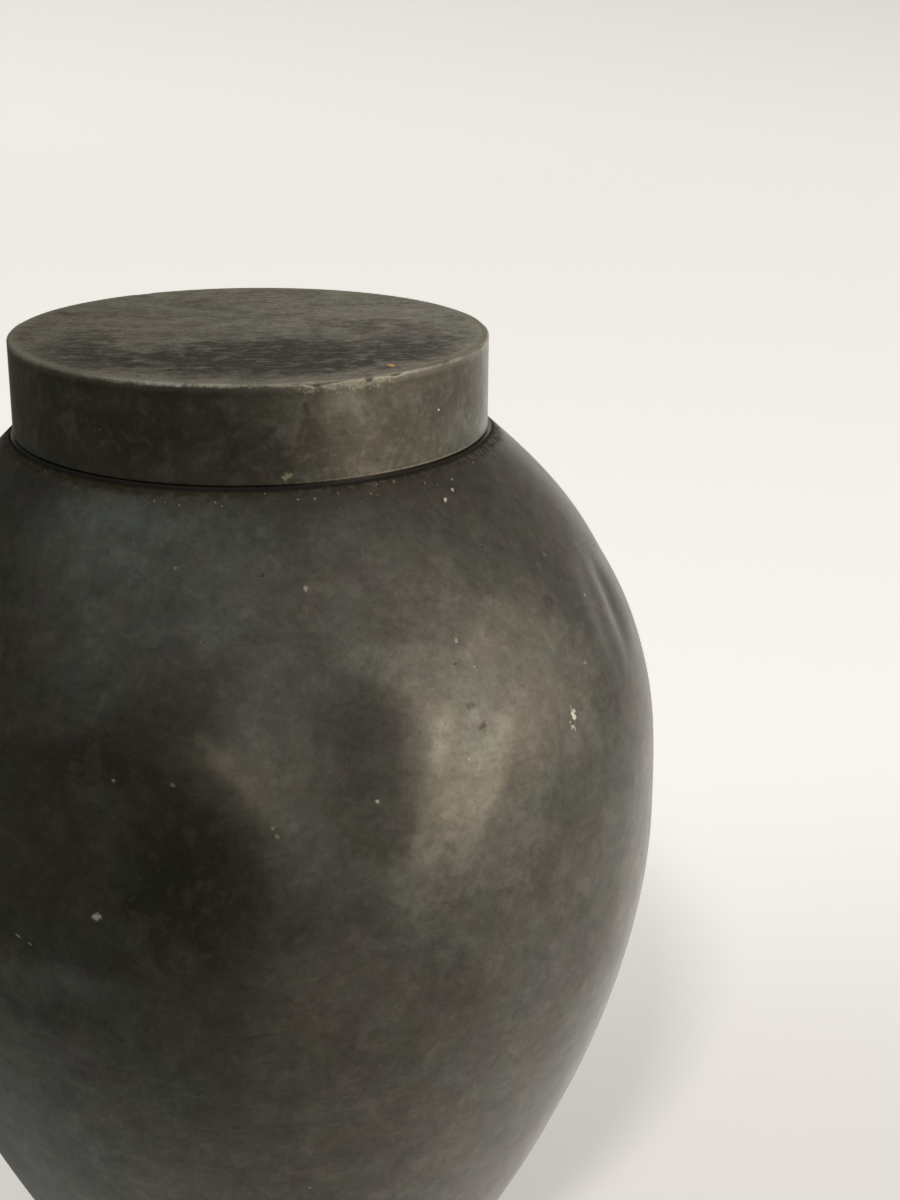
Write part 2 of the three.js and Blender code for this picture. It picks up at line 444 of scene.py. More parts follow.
@dataclass
class Nodes:
    """A node tree as it is built.

    Attributes:
        tree: The tree.
    """

    tree: bpy.types.NodeTree

    def feed(self, node: bpy.types.Node, inputs: Inputs) -> None:
        """Sets a node's sockets to their values, or links them to the sockets that feed them.

        Args:
            node: The node.
            inputs: Its sockets.
        """
        for socket, value in inputs.items():
            if isinstance(value, Socket):
                self.tree.links.new(value, node.inputs[socket])
            else:
                node.inputs[socket].default_value = value

    def add(self, kind: str, inputs: Inputs, output: str | int = 0, **settings: object) -> Socket:
        """Adds a node with its settings, its values and the links that feed it.

        Args:
            kind: The node's type name.
            inputs: Its sockets.
            output: The output that is wanted.
            settings: The node's own properties.

        Returns:
            The wanted output.
        """
        made = self.tree.nodes.new(kind)
        for name, value in settings.items():
            setattr(made, name, value)
        self.feed(made, inputs)
        return made.outputs[output]

    def ramp(
        self, value: Socket, start: float, end: float, amount: float = 1.0, least: float = 0.0
    ) -> Socket:
        """Turns a value smoothly into an amount.

        Args:
            value: The value.
            start: The value at which the amount is least.
            end: The value at which the amount is full.
            amount: The full amount.
            least: The least amount.

        Returns:
            The amount.
        """
        (low, first), (high, last) = sorted([(start, least), (end, amount)])
        limits = {"From Min": low, "From Max": high, "To Min": first, "To Max": last}
        return self.add("ShaderNodeMapRange", {"Value": value} | limits, interpolation_type="SMOOTHSTEP")

    def both(self, first: Socket, second: Amount) -> Socket:
        """Gives what two amounts have together, one times the other."""
        return self.add("ShaderNodeMath", {0: first, 1: second}, operation="MULTIPLY")


@dataclass
class Coat(Nodes):
    """The layers of a finish as they are laid one over another.

    Attributes:
        place: The object's own coordinates.
        colour: The colour so far.
        roughness: The roughness so far.
        metal: How metallic it is so far.
        relief: The height of the fine relief so far, in metres.
    """

    place: Socket
    colour: Amount
    roughness: Amount
    metal: Amount
    relief: Amount = 0.0

    def noise(self, size_mm: float, detail: float, stretch: float = 1.0) -> Socket:
        """Gives a cloudy noise with features of a real size.

        Args:
            size_mm: The size of its largest features, in mm.
            detail: How many finer layers it has.
            stretch: How many times longer its features are along X.

        Returns:
            Its values, from 0 to 1.
        """
        where = self.place
        if stretch > 1:
            where = self.add("ShaderNodeMapping", {"Vector": where, "Scale": (1 / stretch, 1, 1)})
        size = {"Vector": where, "Scale": per_metre(size_mm), "Detail": detail}
        return self.add("ShaderNodeTexNoise", size | CLOUDY)

    def lay(
        self, amount: Amount, colour: str, roughness: float | None = None, metal: float | None = None
    ) -> None:
        """Lays a colour over the finish.

        Args:
            amount: How far it covers what lies under it.
            colour: The colour.
            roughness: Its roughness, or none to keep what lies under it.
            metal: How metallic it is, or none to keep what lies under it.
        """
        under, over, out = COLOUR_SOCKETS
        colours = {"Factor": amount, under: self.colour, over: linear(colour)}
        self.colour = self.add("ShaderNodeMix", colours, out, data_type="RGBA")
        under, over, out = NUMBER_SOCKETS
        if roughness is not None:
            numbers = {"Factor": amount, under: self.roughness, over: roughness}
            self.roughness = self.add("ShaderNodeMix", numbers, out)
        if metal is not None:
            numbers = {"Factor": amount, under: self.metal, over: metal}
            self.metal = self.add("ShaderNodeMix", numbers, out)

    def plus(self, base: Amount, extra: Socket, scale: float) -> Socket:
        """Adds a scaled value to another, such as a noise that frays a distance."""
        return self.add("ShaderNodeMath", {0: extra, 1: scale, 2: base}, operation="MULTIPLY_ADD")

    def raise_by(self, height: Socket, scale_mm: float) -> None:
        """Adds a height, scaled to mm, to the fine relief."""
        self.relief = self.plus(self.relief, height, scale_mm * MM)

    def band(self, distance: Socket, edge: float, start: float, end: float, amount: float = 1.0) -> Socket:
        """Gives an amount that grows from start to end, both in mm past an edge in mm."""
        return self.ramp(distance, (edge + start) * MM, (edge + end) * MM, amount)

    def spots(self, spots: Spots) -> Socket:
        """Scatters small ragged spots.

        Args:
            spots: Their sizes.

        Returns:
            1 in a spot and 0 outside.
        """
        radius = spots.radius_mm
        ragged = {"Vector": self.place, "Scale": per_metre(spots.frayed * radius), "Detail": 2.0}
        warp = self.add("ShaderNodeTexNoise", ragged, "Color")
        bend = {0: warp, 1: (spots.bent * radius * MM,) * 3, 2: self.place}
        cells = {
            "Vector": self.add("ShaderNodeVectorMath", bend, operation="MULTIPLY_ADD"),
            "Scale": per_metre(spots.spacing_mm),
        }
        away = self.add("ShaderNodeTexVoronoi", cells, "Distance")
        edge = radius / spots.spacing_mm
        pick = self.add("ShaderNodeSeparateColor", {"Color": away.node.outputs["Color"]}, "Red")
        kept = self.add("ShaderNodeMath", {0: pick, 1: spots.share}, operation="LESS_THAN")
        return self.both(self.ramp(away, edge, edge * spots.core), kept)

    def patch(self, patch: Patch, breakup: Socket) -> None:
        """Lays a patch, its rim broken up by a noise about 0.

        Args:
            patch: The patch.
            breakup: The noise.
        """
        across, along, loose = patch.half_width * MM, patch.half_height * MM, patch.reach * MM
        spot = {
            "Vector": self.place,
            "Location": around(patch.bearing, patch.radius * MM, patch.height * MM),
            "Rotation": (-math.radians(patch.lean), 0, math.radians(patch.bearing)),
            "Scale": (along, across, loose) if patch.flat else (loose, across, along),
        }
        local = self.add("ShaderNodeMapping", spot, vector_type="TEXTURE")
        away = self.add("ShaderNodeVectorMath", {0: local}, "Value", operation="LENGTH")
        frayed = self.plus(away, breakup, patch.ragged * RIM_BREAKUP)
        amount = self.ramp(frayed, 1.0, 1.0 - patch.soft, patch.amount)
        self.lay(amount, patch.colour, patch.roughness, patch.metal)

    def height(self) -> Socket:
        """Gives the height above the foot."""
        return self.add("ShaderNodeSeparateXYZ", {"Vector": self.place}, "Z")

    def run(self) -> Socket:
        """Gives the distance along a turned profile: the radius and the height added up.

        Returns:
            The distance, in metres.
        """
        level = self.add("ShaderNodeVectorMath", {0: self.place, 1: (1, 1, 0)}, operation="MULTIPLY")
        radius = self.add("ShaderNodeVectorMath", {0: level}, "Value", operation="LENGTH")
        return self.plus(self.height(), radius, 1.0)


@dataclass(frozen=True)
class AgedTin:
    """Cast and turned tin under years of tea-room patina.

    The metal gives a broad, soft highlight. Thin oxide mottles it in greenish grey, brown and mauve, the
    turning tool has left fine lines, and handling has rubbed its ridges and arrises paler. Some of its
    patches
    are painted light: paler ridges and arris that add to the highlight, bluish reflections and gap shadow.

    Attributes:
        name: The material's name.
        cool: The greenish grey of thin oxide.
        warm: The brown-grey of thicker oxide.
        mauve: The reddish grey of the oldest oxide.
        dark: The darkest blotches.
        pale: Rubbed metal.
        roughness: Its roughness.
        mottle: How strongly the blotches show.
        grain: How strongly the fine grain shows.
        wiped: How strongly the trails of a cloth show.
        patches: Its patches.
        arris: Radius and height of a worn arris, in mm, or none.
        worn_mm: How far the wear reaches from the arris, in mm.
        handled: How dark the grime beside the arris is.
        ledge: Height in mm near which grime gathers and painted shadow blackens the gap under the cap, or
            none.
        mottle_mm: Size of the middle blotches.
        line_mm: Spacing of the turning lines, drawn coarser than real ones so that they show.
        metal: How far the metal shows through the oxide.
    """

    name: str
    cool: str
    warm: str
    mauve: str
    dark: str
    pale: str
    roughness: float = 0.4
    mottle: float = 1.0
    grain: float = 0.18
    wiped: float = 0.0
    patches: tuple[Patch, ...] = ()
    arris: tuple[float, float] | None = None
    worn_mm: float = 0.7
    handled: float = 0.3
    ledge: float | None = None
    mottle_mm: float = 5.0
    line_mm: float = 0.9
    metal: float = 0.94

    def build(self) -> Finish:
        """Builds the material's nodes.

        Returns:
            The material.
        """
        made = bpy.data.materials.new(self.name)
        made.use_nodes = True
        place = Nodes(made.node_tree).add("ShaderNodeTexCoord", {}, "Object")
        coat = Coat(made.node_tree, place, linear(self.cool), self.roughness, self.metal)
        self.lay_hues(coat)
        self.lay_patches(coat, broad=True)
        self.lay_mottle(coat)
        self.lay_lines(coat)
        if self.arris is not None:
            self.wear_arris(coat)
        self.lay_specks(coat)
        self.lay_patches(coat, broad=False)
        if self.ledge is not None:
            self.lay_gap_shadow_and_grime(coat)
        looks = {
            "Base Color": coat.colour,
            "Roughness": coat.roughness,
            "Metallic": coat.metal,
            "Normal": coat.add("ShaderNodeBump", {"Height": coat.relief, "Strength": 1.0, "Distance": 1.0}),
        }
        coat.feed(coat.tree.nodes["Principled BSDF"], looks)
        return made

    def lay_hues(self, coat: Coat) -> None:
        """Lays the oxide's three hues."""
        coat.lay(coat.ramp(coat.noise(self.mottle_mm * 3.2, 4), 0.4, 0.58), self.warm)
        coat.lay(coat.ramp(coat.noise(self.mottle_mm * 2.1, 4), 0.48, 0.64, 0.6), self.mauve)

    def lay_mottle(self, coat: Coat) -> None:
        """Lays blotches of three sizes, a fine grain and the trails of a cloth.

        Args:
            coat: The layers so far.
        """
        broad = coat.noise(self.mottle_mm * 2.6, 3)
        coat.lay(coat.ramp(broad, 0.48, 0.64, 0.2 * self.mottle), self.dark, self.roughness + 0.05)
        blotch = coat.noise(self.mottle_mm, 3)
        coat.lay(coat.ramp(blotch, 0.5, 0.37, 0.2 * self.mottle), self.dark)
        coat.lay(coat.ramp(blotch, 0.53, 0.66, 0.24 * self.mottle), self.pale, self.roughness - 0.03)
        fleck = coat.noise(self.mottle_mm * 0.34, 3)
        coat.lay(coat.ramp(fleck, 0.52, 0.66, 0.17 * self.mottle), self.dark)
        coat.lay(coat.ramp(fleck, 0.46, 0.34, 0.15 * self.mottle), self.pale)
        grain = coat.noise(GRAIN_MM, 2)
        coat.lay(coat.ramp(grain, 0.5, 0.66, self.grain), self.dark)
        if self.wiped:
            trail = coat.noise(TRAIL_MM, 3, TRAIL_STRETCH)
            coat.lay(coat.ramp(trail, 0.51, 0.66, self.wiped), self.dark)
            coat.lay(coat.ramp(trail, 0.47, 0.33, self.wiped), self.pale)
        coat.raise_by(blotch, 0.03)
        coat.raise_by(fleck, 0.011 * self.mottle)
        coat.raise_by(grain, 0.006 * self.mottle)

    def lay_lines(self, coat: Coat) -> None:
        """Lays the tool's fine lines, which patches of oxide hide.

        Args:
            coat: The layers so far.
        """
        along = coat.plus(coat.run(), coat.noise(9.0, 2), 0.3 * MM)
        drawn = {"W": along, "Scale": per_metre(self.line_mm), "Detail": 2.0}
        lines = coat.add("ShaderNodeTexNoise", drawn, noise_dimensions="1D")
        bare = coat.ramp(coat.noise(self.mottle_mm * 2.3, 3), 0.42, 0.6, 0.14)
        coat.lay(coat.both(coat.ramp(lines, 0.5, 0.7), bare), self.dark)
        coat.raise_by(lines, 0.007)

    def lay_specks(self, coat: Coat) -> None:
        """Lays pits and specks of dust.

        Args:
            coat: The layers so far.
        """
        pits = coat.spots(PIT_SPOTS)
        coat.lay(coat.both(pits, 0.5), self.dark, 0.7)
        coat.raise_by(pits, -0.04)
        dusty = coat.ramp(coat.noise(14, 2), 0.5, 0.6, 0.6)
        coat.lay(coat.both(coat.spots(DUST_SPOTS), dusty), DUST_GREY, 0.8, 0.3)

    def lay_patches(self, coat: Coat, broad: bool) -> None:
        """Lays the broad patches, which go under the mottling, or the small ones, which go over it.

        Args:
            coat: The layers so far.
            broad: Whether the broad ones are laid.
        """
        cloud = coat.noise(3.4, 5) if broad else coat.noise(GRAIN_MM, 2)
        breakup = coat.add("ShaderNodeMath", {0: cloud, 1: 0.5}, operation="SUBTRACT")
        for patch in self.patches:
            if (min(patch.half_width, patch.half_height) > SMALL_MM) == broad:
                coat.patch(patch, breakup)

    def lay_gap_shadow_and_grime(self, coat: Coat) -> None:
        """Lays painted shadow in the gap under the cap, a darker band below it, brown grime and pale crumbs.

        Args:
            coat: The layers so far.
        """
        frayed = coat.plus(coat.height(), coat.noise(2.2, 4), SHADOW_AND_GRIME_FRAY_MM * MM)
        rim = self.ledge + SHADOW_AND_GRIME_FRAY_MM / 2
        coat.lay(coat.band(frayed, rim, -5.5, -0.8, 0.35), self.dark)
        brown = coat.ramp(coat.noise(1.4, 4), 0.36, 0.54)
        coat.lay(coat.both(coat.band(frayed, rim, -2.3, -0.9, 0.88), brown), GRIME_BROWN, 0.8, 0.4)
        crumbs = coat.both(coat.spots(CRUMB_SPOTS), coat.band(frayed, rim, -4.5, -1.2, 0.7))
        coat.lay(crumbs, CRUMB_BROWN, 0.85, 0.2)
        # Painted shadow: black in the gap between the cap and the ledge.
        close = coat.plus(coat.height(), coat.noise(1.2, 3), 0.8 * MM)
        coat.lay(coat.band(close, self.ledge, -0.3, 0.1, 0.96), GAP_SHADOW_BLACK, 0.9, 0.1)

    def wear_arris(self, coat: Coat) -> None:
        """Rubs the arris to paler metal, in places more than in others, over grime that the hands leave.

        Args:
            coat: The layers so far.
        """
        frayed = coat.plus(coat.run(), coat.noise(1.8, 4), WEAR_FRAY_MM * MM)
        worn = sum(self.arris) + WEAR_FRAY_MM / 2 - self.worn_mm
        coat.lay(coat.band(frayed, worn, -3.2, -0.8, self.handled), self.dark)
        coat.lay(coat.band(frayed, worn, -1.3, -0.2, 0.35), self.pale)
        bare = coat.ramp(coat.noise(7.0, 4), 0.28, 0.56, 0.8)
        coat.lay(coat.both(coat.band(frayed, worn, -0.3, 0.4), bare), BARE_ARRIS, 0.6, 0.75)


def make_piece(name: str, mesh: Solid, finishes: Sequence[Finish]) -> bpy.types.Object:
    """Makes an object of a mesh, dresses it and puts it into the scene.

    Args:
        name: The piece's name.
        mesh: Its mesh, in the part's frame. It is freed here.
        finishes: Its materials, in the order of the faces' material numbers.

    Returns:
        The piece.
    """
    for face in mesh.faces:
        face.smooth = True
    for edge in mesh.edges:
        edge.smooth = edge.calc_face_angle(math.pi) < SHARP
    data = bpy.data.meshes.new(name)
    mesh.to_mesh(data)
    mesh.free()
    for finish in finishes:
        data.materials.append(finish)
    piece = bpy.data.objects.new(name, data)
    bpy.context.scene.collection.objects.link(piece)
    return piece


@dataclass
class SubAssembly:
    """Pieces that ride together on one body of the part.

    Attributes:
        body: The body's name.
        made: The pieces made so far.
    """

    body: str
    made: list[bpy.types.Object] = field(default_factory=list)

    def put(self, name: str, mesh: Solid, node: str, slot: str, finishes: Sequence[Finish]) -> None:
        """Makes a piece and seats it on the body.

        Args:
            name: The piece's name.
            mesh: Its mesh.
            node: The CAD node that it stands for.
            slot: The record's material slot; not used.
            finishes: Its materials.
        """
        piece = make_piece(name, mesh, finishes)
        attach(piece, self.body)
        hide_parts(node)
        self.made.append(piece)


def reach(node: str) -> tuple[float, float, float]:
    """Gives a turned CAD node's widest radius, its lowest and its highest height, in metres."""
    low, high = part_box(node)
    return high.x, low.z, high.z


def shifted(mesh: Solid, shift: Shift) -> Solid:
    """Moves each vertex of a mesh that is off the axis by a rule.

    Args:
        mesh: The mesh.
        shift: The rule, from a point to where it goes.

    Returns:
        The same mesh.
    """
    for vert in mesh.verts:
        if vert.co.xy.length > MM:
            vert.co = shift(vert.co)
    return mesh


@dataclass
class Jar(SubAssembly):
    """The jar's body: two lapped shells, the neck collar, the floor disc and the foot ring.

    Sizes are in mm. The last five fields are read from the part, in metres.
    """

    shell_wall: float = 1.6
    shoulder_slope: float = 43.3
    shoulder_pull: float = 47.2
    upper_belly_pull: float = 20.2
    lower_belly_pull: float = 40.0
    base_lean: float = 29.0
    base_pull: float = 20.0
    lap_height: float = 2.5
    lap_thickness: float = 0.75
    lap_gap: float = 0.1
    foot_width: float = 5.3
    foot_edge: float = 0.7
    cap_room: float = 1.8
    collar_wall: float = 1.5
    collar_edge: float = 0.35
    flange_thickness: float = 0.8
    solder_gap: float = 0.15
    ledge_width: float = 0.45
    steps: int = 420
    small_steps: int = 210
    outer_rows: int = 76
    clear_below: float = 0.6
    clear_above: float = 0.4
    belly: float = field(init=False)
    seam: float = field(init=False)
    ledge: float = field(init=False)
    base: float = field(init=False)
    floor: float = field(init=False)

    def build(self, patina: Finish, bright: Finish) -> None:
        """Builds the jar's pieces.

        Args:
            patina: The finish of the outside.
            bright: The finish of the inside and of the collar.
        """
        self.belly, self.seam, self.ledge = reach("shoulder_shell")
        self.base, self.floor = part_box("floor_disc")[1].x, reach("belly_shell")[1]
        relief = Relief(self.floor, self.seam, self.ledge, self.belly / MM, DENTS)
        for name, profile, node in (
            ("jar_shoulder", self.shoulder(), "shoulder_shell"),
            ("jar_belly", self.lower(), "belly_shell"),
        ):
            mesh = shifted(turn(profile, self.steps, closed=True), relief.at)
            self.mark_inside(mesh)
            self.put(name, mesh, node, "jar_tin", [patina, bright])
        for name, profile, closed, node, slot, finish in (
            ("jar_collar", self.collar(), True, "neck_collar", "inner_tin", bright),
            ("jar_floor", self.disc(), False, "floor_disc", "jar_tin", patina),
            ("jar_foot", self.foot(), True, "foot_ring", "jar_tin", patina),
        ):
            self.put(name, turn(profile, self.small_steps, closed), node, slot, [finish])

    def mark_inside(self, mesh: Solid) -> None:
        """Gives the faces that look towards the axis the inside finish.

        Args:
            mesh: The shell's mesh.
        """
        for face in mesh.faces:
            middle = face.calc_center_median()
            if face.normal.dot(Vector((middle.x, middle.y, 0))) < 0:
                face.material_index = ShellFace.INSIDE.value

    def inner_rows(self, outer: list[Point], low: float, high: float) -> list[Point]:
        """Gives the inside of a drawn shell, downwards, clear of the two heights that it runs between."""
        lowest, highest = low + self.clear_below * MM, high - self.clear_above * MM
        return [p for p in moved_in(outer, self.shell_wall * MM)[::-2] if lowest < p[1] < highest]

    def shoulder(self) -> list[Point]:
        """Draws the upper shell, from the seam to the ledge and back down the inside.

        Returns:
            The closed profile.
        """
        wall, slope = self.shell_wall * MM, math.radians(self.shoulder_slope)
        rim = reach("cap_wall")[0] + self.ledge_width * MM
        pull = self.shoulder_pull * MM
        outer = curve(
            (self.belly, self.seam),
            (self.belly, self.seam + self.upper_belly_pull * MM),
            (rim + pull * math.cos(slope), self.ledge - pull * math.sin(slope)),
            (rim, self.ledge),
            self.outer_rows,
        )
        hole = self.collar_radius() + self.solder_gap * MM
        lap = self.belly - wall + self.lap_thickness * MM + self.lap_gap * MM
        rebate = self.seam + (self.lap_height + self.lap_gap) * MM
        under = self.ledge - wall
        return [
            *outer,
            (hole, self.ledge),
            (hole, under),
            (rim - wall * math.tan(slope / 2), under),
            *self.inner_rows(outer, rebate, under),
            (self.belly - wall, rebate),
            (lap, rebate),
            (lap, self.seam),
        ]

    def lower(self) -> list[Point]:
        """Draws the lower shell, from the floor to the lapped tongue and back down the inside.

        Returns:
            The closed profile.
        """
        wall, lean, pull = self.shell_wall * MM, math.radians(self.base_lean), self.base_pull * MM
        outer = curve(
            (self.base, self.floor),
            (self.base + pull * math.sin(lean), self.floor + pull * math.cos(lean)),
            (self.belly, self.seam - self.lower_belly_pull * MM),
            (self.belly, self.seam),
            self.outer_rows,
        )
        tongue = self.belly - wall + self.lap_thickness * MM
        top = self.seam + self.lap_height * MM
        return [
            *outer,
            (tongue, self.seam),
            (tongue, top),
            (self.belly - wall, top),
            (self.belly - wall, self.seam),
            *self.inner_rows(outer, self.floor, self.seam),
            (self.base - wall / math.cos(lean), self.floor),
        ]

    def collar_radius(self) -> float:
        """Gives the collar's outer radius, inside the cap's wall."""
        return reach("cap_wall")[0] - self.cap_room * MM

    def collar(self) -> list[Point]:
        """Draws the neck collar, with its flange under the ledge and a softened top edge.

        Returns:
            The closed profile.
        """
        flange, low, top = reach("neck_collar")
        outer, bore = self.collar_radius(), self.collar_radius() - self.collar_wall * MM
        edge = self.collar_edge * MM
        return [
            (flange, low),
            (flange, low + self.flange_thickness * MM),
            (outer, low + self.flange_thickness * MM),
            *corner((outer - edge, top - edge), edge, 0),
            *corner((bore + edge, top - edge), edge, 90),
            (bore, low),
        ]

    def disc(self) -> list[Point]:
        """Draws the floor disc, whose raised middle centres the lower shell.

        Returns:
            The profile, from the axis to the axis.
        """
        radius, low, top = reach("floor_disc")
        bore = self.base - self.shell_wall * MM / math.cos(math.radians(self.base_lean))
        seat = bore - self.solder_gap * MM
        return [(0, low), (radius, low), (radius, self.floor), (seat, self.floor), (seat, top), (0, top)]

    def foot(self) -> list[Point]:
        """Draws the foot ring, a little wider where it stands, with both lower edges worn round.

        Returns:
            The closed profile.
        """
        wide, low, top = reach("foot_ring")
        inner, edge = self.base - self.foot_width * MM, self.foot_edge * MM
        return [
            *corner((wide - edge, low + edge), edge, -90),
            (self.base, top),
            (inner, top),
            *corner((inner + edge, low + edge), edge, 180),
        ]


@dataclass
class InnerLid(SubAssembly):
    """The inner lid: a plate over a skirt, lifted by a waisted button. Sizes are in mm."""

    skirt_wall: float = 1.2
    lead_in: float = 0.5
    plate_edge: float = 0.35
    button_rim: float = 1.6
    waist_radius: float = 3.4
    button_foot: float = 4.6
    crown: float = 0.7
    rivet_radius: float = 1.85
    rivet_gap: float = 0.15
    steps: int = 180

    def build(self, bright: Finish) -> None:
        """Builds the inner lid's pieces in one finish.

        Args:
            bright: The finish.
        """
        for name, profile, closed in [
            ("inner_lid_plate", self.plate(), True),
            ("inner_lid_skirt", self.skirt(), True),
            ("inner_lid_button", self.button(), False),
        ]:
            mesh = turn(profile, self.steps, closed)
            self.put(name.replace("inner_", ""), mesh, name, "inner_tin", [bright])

    def plate(self) -> list[Point]:
        """Draws the plate, a ring round the button's stem with a step that centres the skirt.

        Returns:
            The closed profile.
        """
        radius, low, top = reach("inner_lid_plate")
        skirt, _, seat = reach("inner_lid_skirt")
        step = skirt - (self.skirt_wall + self.rivet_gap) * MM
        hole, edge = (self.rivet_radius + self.rivet_gap) * MM, self.plate_edge * MM
        return [
            (hole, low),
            (step, low),
            (step, seat),
            *corner((radius - edge, seat + edge), edge, -90),
            *corner((radius - edge, top - edge), edge, 0),
            *line((radius - edge, top), (hole, top), 12),
            (hole, top),
        ]

    def skirt(self) -> list[Point]:
        """Draws the skirt, chamfered to start in the collar.

        Returns:
            The closed profile.
        """
        radius, low, top = reach("inner_lid_skirt")
        bore, chamfer = radius - self.skirt_wall * MM, self.lead_in * MM
        return [(radius - chamfer, low), (radius, low + chamfer), (radius, top), (bore, top), (bore, low)]

    def button(self) -> list[Point]:
        """Draws the button, from the foot of its stem through its waist to its crown.

        Returns:
            The profile, from the axis to the axis.
        """
        radius, low, top = reach("inner_lid_button")
        seat = reach("inner_lid_plate")[2]
        edge = top - self.crown * MM
        under = edge - self.button_rim * MM
        foot, waist, stem = self.button_foot * MM, self.waist_radius * MM, self.rivet_radius * MM
        belly = (waist, (seat + under) / 2)
        return [
            (0, low),
            (stem, low),
            (stem, seat),
            *curve((foot, seat), belly, belly, (radius, under), 10),
            *curve((radius, edge), (radius * 0.8, top), (radius * 0.5, top), (0, top), 8),
        ]


@dataclass
class Cap(SubAssembly):
    """The slip-over cap: an upright wall under a flat disc with a worn arris. Sizes are in mm."""

    wall: float = 1.6
    lip: float = 0.2
    arris: float = 0.45
    solder_gap: float = 0.15
    steps: int = 720
    band_steps: int = 240

    def build(self, handled: Finish, scaly: Finish) -> None:
        """Builds the cap's pieces.

        Args:
            handled: The finish of the wall, smoothed by hands.
            scaly: The finish of the top.
        """
        radius, _, top = reach("cap_top")
        disc = turn(self.disc(), self.steps, closed=False)
        for face in disc.faces:
            face.material_index = (CapFace.TOP if face.normal.z > LEVEL else CapFace.SIDE).value
        disc = shifted(disc, ArrisWear(radius, top, NICKS).at)
        band = turn(self.band(), self.band_steps, closed=True)
        self.put("cap_band", band, "cap_wall", "cap_tin", [handled])
        self.put("cap_disc", disc, "cap_top", "cap_tin", [handled, scaly])

    def band(self) -> list[Point]:
        """Draws the cap's wall, rounded at its lower edge.

        Returns:
            The closed profile.
        """
        radius, low, top = reach("cap_wall")
        bore, lip = radius - self.wall * MM, self.lip * MM
        return [
            *corner((radius - lip, low + lip), lip, -90),
            *line((radius, low + lip), (radius, top), 14),
            (radius, top),
            (bore, top),
            (bore, low),
        ]

    def disc(self) -> list[Point]:
        """Draws the cap's disc, with a step that centres it in the wall.

        Returns:
            The profile, from the axis to the axis.
        """
        radius, low, top = reach("cap_top")
        seat, edge = reach("cap_wall")[2], self.arris * MM
        step = radius - (self.wall + self.solder_gap) * MM
        return [
            (0, low),
            (step, low),
            (step, seat),
            (radius, seat),
            *line((radius, seat), (radius, top - edge), 5),
            *corner((radius - edge, top - edge), edge, 0, 6),
            *line((radius - edge, top), (radius - 4 * edge, top), 5),
            *line((radius - 4 * edge, top), (0, top), 24),
            (0, top),
        ]


@dataclass(frozen=True)
class Glow:
    """A broad patch of light in the room round the object.

    Attributes:
        azimuth: Degrees from +X towards +Y.
        elevation: Degrees above the horizon.
        spread: Degrees from its middle to where it has faded out.
        colour: Its colour.
        strength: Its brightness.
    """

    azimuth: float
    elevation: float
    spread: float
    colour: str
    strength: float


def tinted(colour: str, strength: float) -> tuple[float, ...]:
    """Gives the light of a colour at a strength."""
    return tuple(part * strength for part in linear(colour)[:3])


